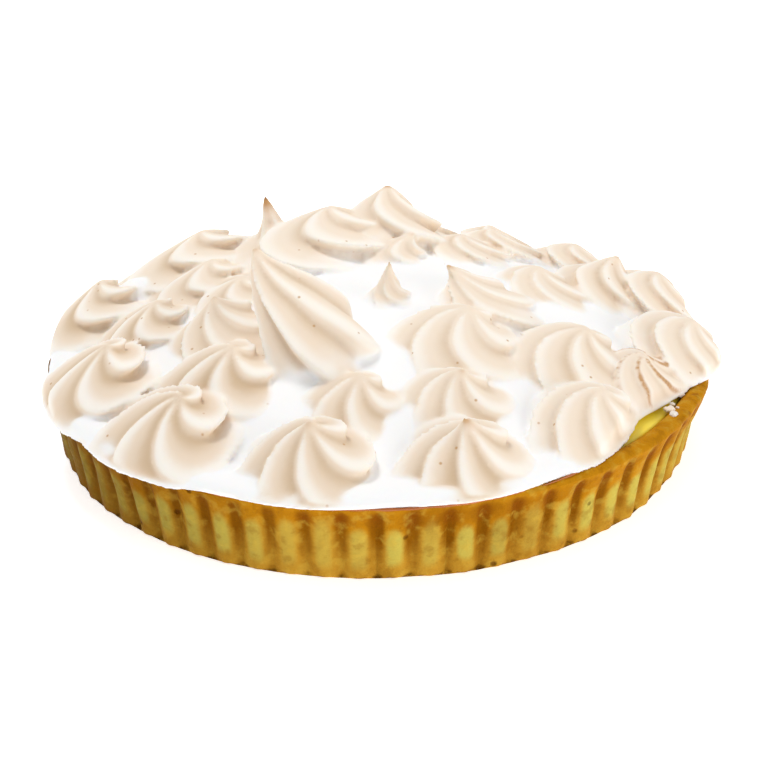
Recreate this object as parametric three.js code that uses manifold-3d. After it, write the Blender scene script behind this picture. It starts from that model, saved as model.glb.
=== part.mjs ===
// Lemon meringue tart: a fluted pastry case, a lemon filling that runs through it,
// and one fused meringue of a domed bed with piped star swirls in rings on top.
// Millimetres, +Z up, the underside of the case rests on z = 0, the front is -Y.
import * as THREE from 'three';
import Module from 'manifold-3d';

// Pastry case
const BASE_RADIUS = 109.6;
const WALL_RADIUS = 113.0;
const RIM_TOP = 27.2;
const SHOULDER = 23.5;
const FLUTE_COUNT = 65;
const FLUTE_DEPTH = 2.3;
const FLUTE_PHASE = 270.0;
const RIM_BULGE = 3.0;
const BULGE_ANGLE = 0.0;
const BULGE_SPREAD = 38.0;
const FLOOR_THICK = 5.0;
const INNER_RIM = 107.0;
const INNER_FLOOR = 104.5;

// Filling
const FILL_TOP = 25.6;
const GAP = 0.3;

// Meringue bed
const BED_RADIUS = 110.0;
const BED_FOOT = 27.6;
const BANK_TOP = 30.5;
const BED_EDGE = 23.0;
const BED_CROWN = 30.0;
const BED_REACH = 112.0;
const LEFT_REACH = 3.4;
const LEFT_ANGLE = 238.0;
const LEFT_SPREAD = 60.0;
const LEMON_GAP_ANGLE = 326.0;
const LEMON_GAP_DEPTH = 8.5;
const LEMON_GAP_SPREAD = 15.0;
const OVERHANG = 1.0;
const LEFT_OVERHANG = 2.0;
const LEFT_DROOP = 1.5;
const DROOP_ANGLE = 212.0;
const DROOP_SPREAD = 34.0;
const FOOT_THIN = 0.13;
const RIGHT_OVERHANG = 8.0;
const RIGHT_ANGLE = -5.0;
const RIGHT_SPREAD = 15.0;

// Piped swirls, the same for all unless a row of the list says otherwise
const RIDGES = 5;
const VALLEY_AT = 0.61;
const SWIRL = { base: 19, height: 13, lean: 13, to: null, peak: 0.12, sharp: 10, hook: 0, hookTo: 180,
  twist: 290, depth: 0.24, sink: 6.3 };
const START = -0.55;
const ROWS = [0, 0.24, 0.4, 0.54, 0.66, 0.77, 0.86, 0.93, 1];
const THINNING = [0.12, 0.13, 0.11, 0.14, 0.1, 0.15, 0.09, 0.16, 0.08, 0.18, 0.07, 0.05];

// Each ring of swirls: distance from the middle and compass angle, with what sets a swirl apart
const SWIRLS = [
  // outer ring
  { r: 102, a: 172, base: 22, height: 16, to: 15 },
  { r: 103, a: 204, base: 25, height: 14, lean: 16, to: 30 },
  { r: 103, a: 230, base: 25, lean: 16, to: 45 },
  { r: 101, a: 259, base: 22, lean: 14, to: 75, peak: 0.3, sharp: 24, hook: 3, hookTo: 180 },
  { r: 101, a: 285, base: 21.5, height: 11.5, lean: 13, to: 70, peak: 0.45, sharp: 20, hook: 7, hookTo: 160 },
  { r: 101, a: 312, base: 22, lean: 14, to: 95 },
  { r: 98, a: 334, base: 18, lean: 10, to: 130 },
  { r: 105, a: 352, base: 21.5, height: 15, lean: 6, to: 120 },
  { r: 104, a: 15, base: 21, height: 16, lean: 6 },
  { r: 97, a: 37, base: 21, height: 14.5, lean: 9 },
  { r: 97, a: 61, base: 20, lean: 9 },
  { r: 97, a: 86, base: 20, lean: 9 },
  { r: 96, a: 113, base: 22, lean: 9 },
  { r: 84, a: 146, base: 30, height: 18, lean: 14, to: -20 },
  // second ring
  { r: 79, a: 188, base: 19, lean: 10, to: 20 },
  { r: 76, a: 229, base: 23, height: 11.5, lean: 14, to: 55 },
  { r: 75, a: 264, base: 18, height: 10, lean: 12, to: 70 },
  { r: 77, a: 289, base: 19.5, height: 9.5, peak: 0.4, sharp: 16, lean: 12, to: 90 },
  { r: 77, a: 326, base: 23, height: 11.5, lean: 15, to: 80 },
  { r: 83, a: 17, base: 18, height: 15.5, lean: 3, to: 60, peak: 0.35, sharp: 14 },
  { r: 73, a: 50, base: 20, lean: 9 },
  { r: 73, a: 77, base: 20, lean: 9 },
  { r: 74, a: 104, base: 20, lean: 9 },
  { r: 66, a: 165, base: 20, lean: 11, to: 0 },
  { r: 58, a: 136, height: 13.5, lean: 11, to: -10, peak: 1.15, sharp: 30, hook: 3, hookTo: 190 },
  // third ring
  { r: 57, a: 215, base: 20, height: 11.5, lean: 15, to: 100, peak: 0.35, sharp: 20 },
  { r: 49, a: 251, base: 17, height: 28, lean: 33, to: 129, sharp: 14, twist: 140 },
  { r: 50, a: 300, base: 22, height: 11, lean: 15, to: 70 },
  { r: 42, a: 340, base: 17, height: 13, lean: 13, to: 155, peak: 0.25, sharp: 20, hook: 8, hookTo: 180 },
  { r: 60, a: 8, base: 19, height: 10.5, lean: 8, to: 120 },
  { r: 50, a: 48, base: 19, height: 12, lean: 4 },
  { r: 44, a: 84, base: 23, height: 22, lean: 0, peak: 0.28 },
  { r: 42, a: 121, base: 29, height: 20, lean: 8, to: 0 },
  { r: 48, a: 178, base: 19, height: 10, lean: 5, to: 0 },
  // middle
  { r: 17, a: 287, base: 8, height: 9, lean: 0, peak: 1.0, sharp: 14, sink: 4 },
  { r: 25, a: 80, base: 15, height: 11.5, lean: 6, to: 0, peak: 0.25, hook: 4, hookTo: 0 },
];

const RAD = Math.PI / 180;
const wasm = await Module();
wasm.setup();
const { Manifold, Mesh } = wasm;

/** Bell curve round an angle, 1 at the angle and falling to 0 either side of it. */
function bell(angle, centre, spread) {
  const off = ((angle - centre + 540) % 360) - 180;
  return Math.exp(-((off / spread) ** 2));
}

/** Height of the meringue bed at a distance from the middle. */
function bedHeight(r) {
  return Math.max(BANK_TOP, BED_EDGE + BED_CROWN * Math.max(0, 1 - (r / BED_REACH) ** 2));
}

/** Slope of the bed, as an angle in radians. */
function bedSlope(r) {
  return Math.atan((2 * BED_CROWN * r) / BED_REACH ** 2);
}

/** Radius of the foot of the bed at a compass angle. */
function bedRadius(angle) {
  return BED_RADIUS + LEFT_REACH * bell(angle, LEFT_ANGLE, LEFT_SPREAD)
    - LEMON_GAP_DEPTH * bell(angle, LEMON_GAP_ANGLE, LEMON_GAP_SPREAD);
}

/** Closed solid from rings of points, with a point at each end. */
function ringSolid(rings, bottom, top) {
  const n = rings[0].length;
  const verts = [];
  for (const ring of rings) {
    for (const p of ring) verts.push(...p);
  }
  const tris = [];
  for (let i = 0; i < rings.length - 1; i++) {
    for (let j = 0; j < n; j++) {
      const a = i * n + j;
      const b = i * n + ((j + 1) % n);
      const c = a + n;
      const d = b + n;
      if (dist(rings[i][j], rings[i + 1][(j + 1) % n]) < dist(rings[i][(j + 1) % n], rings[i + 1][j])) {
        tris.push(a, b, d, a, d, c);
      } else {
        tris.push(a, b, c, b, d, c);
      }
    }
  }
  const last = (rings.length - 1) * n;
  const lowPoint = rings.length * n;
  verts.push(...bottom, ...top);
  for (let j = 0; j < n; j++) {
    const k = (j + 1) % n;
    tris.push(lowPoint, k, j);
    tris.push(lowPoint + 1, last + j, last + k);
  }
  return new Manifold(new Mesh({
    numProp: 3,
    vertProperties: new Float32Array(verts),
    triVerts: new Uint32Array(tris),
  }));
}

function dist(p, q) {
  return Math.hypot(p[0] - q[0], p[1] - q[1], p[2] - q[2]);
}

/** Round solid from a profile whose radius may change with the angle. */
function turned(profile, columns, radiusAt) {
  const rings = profile.map(([r, z]) => {
    const ring = [];
    for (let j = 0; j < columns; j++) {
      const angle = (j / columns) * 360 + FLUTE_PHASE;
      const radius = radiusAt(r, z, angle, j);
      ring.push([radius * Math.cos(angle * RAD), radius * Math.sin(angle * RAD), z]);
    }
    return ring;
  });
  return ringSolid(rings, [0, 0, profile[0][1]], [0, 0, profile[profile.length - 1][1]]);
}

/** How far the case leans out at a height and angle. */
function bulge(z, angle) {
  const rise = Math.min(1, Math.max(0, (z - 12) / 12));
  return RIM_BULGE * rise * rise * bell(angle, BULGE_ANGLE, BULGE_SPREAD);
}

/** The pastry case: a fluted wall that runs out into a plain rounded rim, hollowed by a tapered cup. */
function makeCrust() {
  const outer = turned([
    [BASE_RADIUS - 1, 0],
    [BASE_RADIUS, 1.2],
    [WALL_RADIUS - 0.3, SHOULDER],
    [WALL_RADIUS, RIM_TOP - 1.6],
    [WALL_RADIUS - 1.8, RIM_TOP],
  ], FLUTE_COUNT * 4, (r, z, angle, j) => {
    const across = [1, 0.35, 0, 0.35][j % 4];
    const fade = z <= SHOULDER ? 1 - 0.45 * (z / SHOULDER) ** 6 : 0.1;
    return r + bulge(z, angle) - FLUTE_DEPTH * fade * across;
  });
  const cup = turned([
    [INNER_FLOOR, FLOOR_THICK],
    [INNER_RIM - 0.2, RIM_TOP - 1.4],
    [INNER_RIM + 1.2, RIM_TOP + 0.4],
  ], 72, (r, z, angle) => r + 0.7 * bulge(z, angle));
  return outer.subtract(cup);
}

/** The lemon filling: fills the cup, a gap away from the pastry all round. */
function makeFilling() {
  const middle = [
    [INNER_FLOOR - GAP - 0.1, FLOOR_THICK + GAP],
    [INNER_FLOOR - GAP + 2.3 * 0.45, 14],
    [INNER_RIM - GAP - 0.35, FILL_TOP - 0.8],
    [INNER_RIM - GAP - 1.4, FILL_TOP],
  ];
  return turned(middle, 48, (r, z, angle) => r + 0.6 * bulge(z, angle) * (z > 20 ? 1 : 0));
}

/** The room the pastry and the filling take up, grown a little, which the meringue keeps out of. */
function makeKeepOut() {
  const walled = turned([
    [BASE_RADIUS + 1, -5],
    [WALL_RADIUS + 0.5, SHOULDER - 4],
    [WALL_RADIUS + 0.5, RIM_TOP - 1.4],
    [WALL_RADIUS - 1.6, RIM_TOP + 0.4],
  ], FLUTE_COUNT, (r, z, angle) => r + bulge(z, angle));
  const inside = turned([
    [INNER_RIM - 0.8, FILL_TOP + 0.35],
    [INNER_RIM - 0.3, RIM_TOP + 5],
  ], 72, (r, z, angle) => r + 0.6 * bulge(z, angle));
  return walled.subtract(inside);
}

/** The domed bed the swirls stand on. */
function makeBed() {
  const profile = [
    [1.000, FILL_TOP - 0.5],
    [1.007, BED_FOOT - 0.6],
    [0.998, BED_FOOT + 1.6],
    [0.960, BANK_TOP - 0.3],
    [0.890, BANK_TOP],
  ];
  const steps = [0.75, 0.58, 0.4, 0.2];
  for (const share of steps) {
    profile.push([share, bedHeight(share * BED_RADIUS)]);
  }
  const rings = profile.map(([share, z]) => {
    const ring = [];
    for (let j = 0; j < 72; j++) {
      const angle = j * 5;
      const radius = share * bedRadius(angle);
      ring.push([radius * Math.cos(angle * RAD), radius * Math.sin(angle * RAD), z]);
    }
    return ring;
  });
  return ringSolid(rings, [0, 0, FILL_TOP - 0.5], [0, 0, bedHeight(0)]);
}

/** Draws a point in where a swirl would hang over the edge; at the sides it may, a little. */
function keepOnBed(p, lift) {
  const angle = Math.atan2(p[1], p[0]) / RAD;
  const left = bell(angle, DROOP_ANGLE, DROOP_SPREAD);
  const right = bell(angle, RIGHT_ANGLE, RIGHT_SPREAD);
  const gap = bell(angle, LEMON_GAP_ANGLE, LEMON_GAP_SPREAD);
  const reach = bedRadius(angle) + OVERHANG * (1 - gap)
    + LEFT_OVERHANG * left + RIGHT_OVERHANG * right;
  const r = Math.hypot(p[0], p[1]);
  const pull = r > reach ? (reach + (r - reach) * 0.15) / r : 1;
  const floor = BED_FOOT + lift - LEFT_DROOP * left;
  const low = Math.max(0, floor - p[2]);
  return [p[0] * pull, p[1] * pull, Math.max(p[2], floor) - low * FOOT_THIN];
}

/** One piped swirl: a dome of twisted ridges drawn up into a tip that may lean and hook over. */
function makeSwirl(row, number) {
  const s = { ...SWIRL, ...row };
  const lift = 1.1 + 0.04 * (number % 7);
  const columns = RIDGES * 2;
  const leanTo = (s.to === null ? s.a + 180 : s.to) * RAD;
  const hookTo = s.hookTo * RAD;
  const tilt = bedSlope(s.r);
  const ca = Math.cos(s.a * RAD);
  const sa = Math.sin(s.a * RAD);
  const place = (x, y, z) => {
    const out = x * ca + y * sa;
    const side = -x * sa + y * ca;
    const outT = out * Math.cos(tilt) + z * Math.sin(tilt) + s.r;
    const zT = -out * Math.sin(tilt) + z * Math.cos(tilt);
    return keepOnBed([outT * ca - side * sa, outT * sa + side * ca, bedHeight(s.r) - s.sink + zT], lift);
  };
  const at = (v) => {
    const psi = START + (Math.PI / 2 - START) * v;
    const sine = Math.sin(psi);
    const up = Math.max(0, sine);
    const tip = up ** s.sharp;
    return {
      radius: s.base * Math.max(0, Math.cos(psi)) ** 1.1 * (1 - 0.4 * tip),
      z: s.height * (sine + s.peak * tip),
      x: s.lean * up ** 3 * Math.cos(leanTo) + s.hook * tip * Math.cos(hookTo),
      y: s.lean * up ** 3 * Math.sin(leanTo) + s.hook * tip * Math.sin(hookTo),
      depth: s.depth * (0.6 + 0.4 * up),
      turn: s.twist * RAD * (1 - v) ** 1.5,
    };
  };
  const rings = ROWS.slice(0, -1).map((v) => {
    const f = at(v);
    const ring = [];
    for (let j = 0; j < columns; j++) {
      const valley = j % 2 === 1;
      const part = (j - (valley ? 1 : 0)) / 2 + (valley ? VALLEY_AT : 0);
      const angle = (part / RIDGES) * 2 * Math.PI + f.turn;
      const radius = f.radius * (1 + (valley ? -f.depth : f.depth));
      ring.push(place(f.x + radius * Math.cos(angle), f.y + radius * Math.sin(angle), f.z));
    }
    return ring;
  });
  const low = at(0);
  const peak = at(1);
  return ringSolid(rings, place(0, 0, low.z), place(peak.x, peak.y, peak.z));
}

/** The outer skin of a solid alone, without the walls of any bubble left shut inside it. */
function outerSkin(solid) {
  const m = solid.getMesh();
  const count = m.vertProperties.length / m.numProp;
  const home = Array.from({ length: count }, (_, i) => i);
  const find = (i) => {
    while (home[i] !== i) {
      home[i] = home[home[i]];
      i = home[i];
    }
    return i;
  };
  for (let k = 0; k < m.mergeFromVert.length; k++) {
    home[find(m.mergeFromVert[k])] = find(m.mergeToVert[k]);
  }
  for (let t = 0; t < m.triVerts.length; t += 3) {
    home[find(m.triVerts[t])] = find(m.triVerts[t + 1]);
    home[find(m.triVerts[t + 1])] = find(m.triVerts[t + 2]);
  }
  const sizes = new Map();
  for (let t = 0; t < m.triVerts.length; t += 3) {
    const key = find(m.triVerts[t]);
    sizes.set(key, (sizes.get(key) || 0) + 1);
  }
  const biggest = [...sizes.entries()].sort((p, q) => q[1] - p[1])[0][0];
  const kept = [];
  for (let t = 0; t < m.triVerts.length; t += 3) {
    if (find(m.triVerts[t]) === biggest) {
      kept.push(m.triVerts[t], m.triVerts[t + 1], m.triVerts[t + 2]);
    }
  }
  return new Manifold(new Mesh({
    numProp: m.numProp,
    vertProperties: m.vertProperties,
    triVerts: new Uint32Array(kept),
    mergeFromVert: m.mergeFromVert,
    mergeToVert: m.mergeToVert,
  }));
}

/** Whether two points of the skin lie in one place, as where a thin fold closes on itself. */
function pinched(solid) {
  const m = solid.getMesh();
  const places = new Set();
  for (let i = 0; i < m.vertProperties.length; i += m.numProp) {
    places.add(Array.from(m.vertProperties.slice(i, i + 3), (c) => c.toFixed(3)).join(' '));
  }
  return places.size < m.vertProperties.length / m.numProp;
}

/** All of the meringue, joined to one solid, cut clear of the pastry and thinned out. */
function makeMeringue() {
  const parts = [makeBed(), ...SWIRLS.map(makeSwirl)];
  const joined = outerSkin(Manifold.union(parts).subtract(makeKeepOut()));
  for (const tolerance of THINNING) {
    const thinned = outerSkin(joined.simplify(tolerance));
    if (!pinched(thinned)) return thinned;
  }
  return joined;
}

/** A named three.js mesh from a solid, flat shaded. */
function toMesh(name, solid, color) {
  const m = solid.getMesh();
  const geometry = new THREE.BufferGeometry();
  const points = new Float32Array(m.vertProperties.length);
  for (let i = 0; i < points.length; i++) points[i] = m.vertProperties[i];
  geometry.setAttribute('position', new THREE.BufferAttribute(points, 3));
  geometry.setIndex(new THREE.BufferAttribute(new Uint32Array(m.triVerts), 1));
  geometry.computeVertexNormals();
  const mesh = new THREE.Mesh(geometry, new THREE.MeshStandardMaterial({ color, roughness: 0.7 }));
  mesh.name = name;
  return mesh;
}

const group = new THREE.Group();
group.name = 'lemon_meringue_tart';
group.add(toMesh('crust', makeCrust(), 0xc9974a));
group.add(toMesh('lemon_filling', makeFilling(), 0xe8b828));
group.add(toMesh('meringue', makeMeringue(), 0xf6ead8));

export default group;
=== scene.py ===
# %% [markdown]
# # A lemon meringue tart
#
# This lesson builds a whole tart: a fluted pastry case, a lemon filling and a dome of piped
# meringue that has been browned in the oven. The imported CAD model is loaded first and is
# never changed. Every piece below takes the place of one of its solids and is made from the
# same named sizes, so the two agree in shape, and Blender adds what a solid can't show.

import math
import random

import bmesh
import bpy
from mathutils import Matrix, Quaternion, Vector


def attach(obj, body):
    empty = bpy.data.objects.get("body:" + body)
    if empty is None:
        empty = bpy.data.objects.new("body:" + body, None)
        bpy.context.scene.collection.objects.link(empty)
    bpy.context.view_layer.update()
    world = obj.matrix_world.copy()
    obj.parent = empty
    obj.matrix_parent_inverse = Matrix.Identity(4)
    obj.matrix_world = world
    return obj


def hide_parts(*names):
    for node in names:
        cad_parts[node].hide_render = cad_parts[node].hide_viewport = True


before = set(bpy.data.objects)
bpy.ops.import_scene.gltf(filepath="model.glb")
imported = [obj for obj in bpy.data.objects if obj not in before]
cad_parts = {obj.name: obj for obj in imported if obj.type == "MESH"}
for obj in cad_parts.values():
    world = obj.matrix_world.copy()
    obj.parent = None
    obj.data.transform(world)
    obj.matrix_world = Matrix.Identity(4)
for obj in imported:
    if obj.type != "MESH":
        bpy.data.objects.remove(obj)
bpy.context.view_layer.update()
scene = bpy.context.scene
MM = 0.001

# %% [markdown]
# ## The camera comes first
#
# The photograph looks down on the tart at about 26 degrees from a little over half a metre
# away. That distance matters as much as the angle: it makes the near rim look wider than the
# far one. The camera is set up before anything is made, so that every step can be rendered
# and laid beside the photograph.

# %% Camera
IMAGE = 768
SENSOR_WIDTH = 36
NEAREST = 0.01
VIEW_ELEVATION = math.radians(25.6)
VIEW_ROLL = math.radians(-0.64)
VIEW_DISTANCE = 0.600
FOCAL_PIXELS = 1695
AIM = Vector((0, 0, 0.013))
AIM_PIXEL = (375, 383)

camera_data = bpy.data.cameras.new("tart_camera")
camera_data.sensor_width = SENSOR_WIDTH
camera_data.lens = SENSOR_WIDTH * FOCAL_PIXELS / IMAGE
camera_data.clip_start = NEAREST
camera_data.shift_x = (IMAGE / 2 - AIM_PIXEL[0]) / IMAGE
camera_data.shift_y = (AIM_PIXEL[1] - IMAGE / 2) / IMAGE
camera = bpy.data.objects.new("tart_camera", camera_data)
scene.collection.objects.link(camera)
towards = Vector((0, -math.cos(VIEW_ELEVATION), math.sin(VIEW_ELEVATION)))
level_view = (-towards).to_track_quat("-Z", "Y")
camera.location = AIM + towards * VIEW_DISTANCE
camera.rotation_mode = "QUATERNION"
camera.rotation_quaternion = level_view @ Quaternion((0, 0, 1), VIEW_ROLL)
scene.camera = camera
print("camera lens in mm:", round(camera_data.lens, 1))

# %% [markdown]
# ## Sizes
#
# The same sizes as in the CAD source, in millimetres. The case is baked in a 23 cm fluted
# tin. The angle 0 is to the right of the photograph and 270 is the front.

# %% Sizes of the case
BASE_RADIUS = 109.6
WALL_RADIUS = 113.0
RIM_TOP = 27.2
RIM_ROUND = 1.9
SHOULDER = 23.5
FLUTE_COUNT = 65
FLUTE_DEPTH = 2.3
FLUTE_PHASE = math.radians(270)
RIM_BULGE = 3.0
BULGE_SPREAD = math.radians(38)
BULGE_START = 12.0
BULGE_RISE = 12.0
FLOOR_THICK = 5.0
INNER_RIM = 107.0
INNER_FLOOR = 104.5
RIM_MIDDLE = (INNER_RIM + WALL_RADIUS) / 2
RIM_HALF = (WALL_RADIUS - INNER_RIM) / 2

# %% Sizes of the filling and the meringue bed
FILL_TOP = 25.6
GAP = 0.3
BED_RADIUS = 110.0
BED_FOOT = 27.6
BANK_TOP = 30.5
BED_EDGE = 23.0
BED_CROWN = 30.0
BED_REACH = 112.0
LEFT_REACH = 3.4
LEFT_ANGLE = math.radians(238)
LEFT_SPREAD = math.radians(60)
LEMON_GAP_DEPTH = 8.5
LEMON_GAP_ANGLE = math.radians(326)
LEMON_GAP_SPREAD = math.radians(15)


# %% Helpers for round things
def bell(angle, centre, spread):
    """1 at the centre angle and falling to 0 either side of it, all in radians."""
    off = (angle - centre + math.pi) % (2 * math.pi) - math.pi
    return math.exp(-((off / spread) ** 2))


def bulge(z, angle):
    """How far the case leans out to the right of the photograph, in mm."""
    rise = min(1.0, max(0.0, (z - BULGE_START) / BULGE_RISE))
    return RIM_BULGE * rise * rise * bell(angle, 0, BULGE_SPREAD)


def bed_height(r):
    """Height of the meringue bed at a distance from the middle, in mm."""
    return max(BANK_TOP, BED_EDGE + BED_CROWN * max(0.0, 1 - (r / BED_REACH) ** 2))


def bed_slope(r):
    """How steeply the bed falls away at a distance from the middle, in radians."""
    return math.atan(2 * BED_CROWN * r / BED_REACH ** 2)


def bed_radius(angle):
    """Radius of the foot of the meringue: further out at the left, back at the lemon."""
    left = LEFT_REACH * bell(angle, LEFT_ANGLE, LEFT_SPREAD)
    gap = LEMON_GAP_DEPTH * bell(angle, LEMON_GAP_ANGLE, LEMON_GAP_SPREAD)
    return BED_RADIUS + left - gap


def round_point(r, angle, z):
    """The x, y and z in metres of a distance and height in mm and an angle in radians."""
    r = r * MM
    return (r * math.cos(angle), r * math.sin(angle), z * MM)


# %% Helpers for objects
def place(name, data):
    """A new object in the scene that shows this mesh."""
    made = bpy.data.objects.new(name, data)
    scene.collection.objects.link(made)
    return made


def smooth_faces(data):
    """Shades a mesh as one smooth surface."""
    for face in data.polygons:
        face.use_smooth = True


def shape(name, mesh, smooth=False):
    """Turns a finished bmesh into an object of the same name and frees it."""
    data = bpy.data.meshes.new(name)
    mesh.to_mesh(data)
    mesh.free()
    if smooth:
        smooth_faces(data)
    return place(name, data)


def evaluated_mesh(holder):
    """A plain copy of an object's mesh with its modifiers applied."""
    evaluated = holder.evaluated_get(bpy.context.evaluated_depsgraph_get())
    return bpy.data.meshes.new_from_object(evaluated)


def turned(name, profile, columns, radius_at):
    """An object from a profile of (r, z) in mm that is turned round Z.

    radius_at(r, z, angle) gives the true radius, so that the turned shape needn't be round.
    """
    mesh = bmesh.new()
    rings = []
    for r, z in profile:
        if r == 0:
            rings.append([mesh.verts.new((0, 0, z * MM))])
            continue
        ring = []
        for j in range(columns):
            angle = FLUTE_PHASE + 2 * math.pi * j / columns
            ring.append(mesh.verts.new(round_point(radius_at(r, z, angle), angle, z)))
        rings.append(ring)
    for low, high in zip(rings, rings[1:]):
        for j in range(columns):
            k = (j + 1) % columns
            if len(low) == 1:
                mesh.faces.new((low[0], high[k], high[j]))
            elif len(high) == 1:
                mesh.faces.new((low[j], low[k], high[0]))
            else:
                mesh.faces.new((low[j], low[k], high[k], high[j]))
    bmesh.ops.recalc_face_normals(mesh, faces=mesh.faces)
    return shape(name, mesh, smooth=True)


# %% [markdown]
# ## A shorter way to write node maths
#
# Geometry Nodes and shader nodes do sums with one Math node for each step, and a formula soon
# takes dozens. This small class wraps a socket, so that `a * b + c` adds the nodes and links
# them. It is only a way of writing: the tree that comes out is an ordinary one.

# %% Node maths
class Field:
    """A number socket in a node tree, which adds Math nodes when it is used in a sum."""

    def __init__(self, tree, socket):
        self.tree = tree
        self.socket = socket

    def math(self, operation, *others):
        node = self.tree.nodes.new("ShaderNodeMath")
        node.operation = operation
        for slot, value in zip(node.inputs, (self, *others)):
            if isinstance(value, Field):
                self.tree.links.new(value.socket, slot)
            else:
                slot.default_value = value
        return Field(self.tree, node.outputs[0])

    def __add__(self, other):
        return self.math("ADD", other)

    def __sub__(self, other):
        return self.math("SUBTRACT", other)

    def __mul__(self, other):
        return self.math("MULTIPLY", other)

    def __truediv__(self, other):
        return self.math("DIVIDE", other)

    def __pow__(self, other):
        return self.math("POWER", other)

    __radd__ = __add__
    __rmul__ = __mul__

    def __rsub__(self, other):
        return (self * -1.0) + other

    def cos(self):
        return self.math("COSINE")

    def sin(self):
        return self.math("SINE")

    def abs(self):
        return self.math("ABSOLUTE")

    def fract(self):
        return self.math("FRACT")

    def at_least(self, other):
        return self.math("MAXIMUM", other)

    def at_most(self, other):
        return self.math("MINIMUM", other)

    def ramp(self, start, end, low=0.0, high=1.0):
        """Low before start, high after end, and a smooth change between."""
        node = self.tree.nodes.new("ShaderNodeMapRange")
        node.interpolation_type = "SMOOTHSTEP"
        self.tree.links.new(self.socket, node.inputs["Value"])
        settings = {"From Min": start, "From Max": end, "To Min": low, "To Max": high}
        for label, value in settings.items():
            node.inputs[label].default_value = value
        return Field(self.tree, node.outputs["Result"])


def add_socket(tree, in_out, label, kind, value=None):
    """An input or output on the outside of a node tree, with its value at the start."""
    socket = tree.interface.new_socket(label, in_out=in_out, socket_type="NodeSocket" + kind)
    if value is not None:
        socket.default_value = value


def new_tree(name, inputs):
    """An empty Geometry Nodes tree with a geometry in and out and the named inputs."""
    tree = bpy.data.node_groups.new(name, "GeometryNodeTree")
    add_socket(tree, "INPUT", "Geometry", "Geometry")
    add_socket(tree, "OUTPUT", "Geometry", "Geometry")
    for entry in inputs:
        add_socket(tree, "INPUT", *entry)
    return tree, tree.nodes.new("NodeGroupInput"), tree.nodes.new("NodeGroupOutput")


def run_tree(holder, tree, values):
    """The plain mesh that a tree makes on an object with these input values."""
    modifier = holder.modifiers.new("nodes", "NODES")
    modifier.node_group = tree
    for item in tree.interface.items_tree:
        if item.in_out == "INPUT" and item.name in values:
            modifier[item.identifier] = values[item.name]
    made = evaluated_mesh(holder)
    holder.modifiers.remove(modifier)
    return made


def chain(tree, *nodes):
    """Links the geometry through a row of nodes, from each one to the next."""
    for first, second in zip(nodes, nodes[1:]):
        out = next(s for s in first.outputs if s.type == "GEOMETRY")
        into = next(s for s in second.inputs if s.type == "GEOMETRY")
        tree.links.new(out, into)


def store(tree, name, field):
    """A node that keeps a field on the points under a name that a material can read."""
    node = tree.nodes.new("GeometryNodeStoreNamedAttribute")
    node.data_type = "FLOAT"
    node.domain = "POINT"
    node.inputs["Name"].default_value = name
    tree.links.new(field.socket, node.inputs["Value"])
    return node


def stored(tree, name):
    """The socket that reads a kept field again in a Geometry Nodes tree."""
    node = tree.nodes.new("GeometryNodeInputNamedAttribute")
    node.inputs["Name"].default_value = name
    return node.outputs["Attribute"]


def split_xyz(tree, socket):
    """The x, y and z of a vector as three fields."""
    node = tree.nodes.new("ShaderNodeSeparateXYZ")
    tree.links.new(socket, node.inputs[0])
    return [Field(tree, out) for out in node.outputs]


def position(tree):
    """The x, y and z of each point as three fields, in metres."""
    return split_xyz(tree, tree.nodes.new("GeometryNodeInputPosition").outputs[0])


def vector(tree, x, y, z):
    """A vector socket from three fields or plain numbers."""
    node = tree.nodes.new("ShaderNodeCombineXYZ")
    for slot, value in zip(node.inputs, (x, y, z)):
        if isinstance(value, Field):
            tree.links.new(value.socket, slot)
        else:
            slot.default_value = value
    return node.outputs[0]


def noise(tree, scale, detail=2.0, source=None, rough=0.5):
    """A noise between about 0 and 1 at each point; scale is in waves for each metre."""
    node = tree.nodes.new("ShaderNodeTexNoise")
    node.inputs["Scale"].default_value = scale
    node.inputs["Detail"].default_value = detail
    node.inputs["Roughness"].default_value = rough
    if source is not None:
        tree.links.new(source, node.inputs["Vector"])
    return Field(tree, node.outputs[0])

# %% [markdown]
# ## The pastry case
#
# Sweet pastry pressed into a fluted tin takes the print of every flute, but softly: the ribs
# are wide and rounded, and the grooves between them are narrow. Towards the top the baker's
# thumb has smoothed the pastry against the edge, so the flutes run out into a plain rim.
# A profile is turned round the middle first, and a small Geometry Nodes tree then presses the
# flutes in, because their number, depth and unevenness are then inputs to play with.

# %% Case profile
WALL_STEPS = 14
RIM_STEPS = 7
RIM_LEAD = 0.08
FOOT_EDGE = 1.4
COLUMNS_PER_FLUTE = 16
OUTER_FROM = 111
INNER_BULGE = 0.75

profile = [(0, 0), (60, 0), (BASE_RADIUS - 1.2, 0), (BASE_RADIUS - 0.2, 0.5),
           (BASE_RADIUS, FOOT_EDGE)]
for i in range(1, WALL_STEPS + 1):
    t = i / WALL_STEPS
    outward = BASE_RADIUS + (WALL_RADIUS - 0.3 - BASE_RADIUS) * t
    profile.append((outward, FOOT_EDGE + (SHOULDER - FOOT_EDGE) * t))
for i in range(RIM_STEPS + 1):
    t = max(0, math.pi * (i / RIM_STEPS - RIM_LEAD) / (1 + RIM_LEAD))
    outward = RIM_MIDDLE + RIM_HALF * math.cos(t)
    profile.append((outward, RIM_TOP - RIM_ROUND + RIM_ROUND * math.sin(t)))
profile += [(INNER_RIM - 0.1, 22), (INNER_FLOOR + 1.2, 15), (INNER_FLOOR, FLOOR_THICK),
            (0, FLOOR_THICK)]


def case_radius(r, z, angle):
    """The wall leans out at the right, its inside a little less than its outside."""
    return r + bulge(z, angle) * (1.0 if r > OUTER_FROM else INNER_BULGE)


blank = turned("case_blank", profile, FLUTE_COUNT * COLUMNS_PER_FLUTE, case_radius)
print("case blank:", len(blank.data.polygons), "faces")

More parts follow.
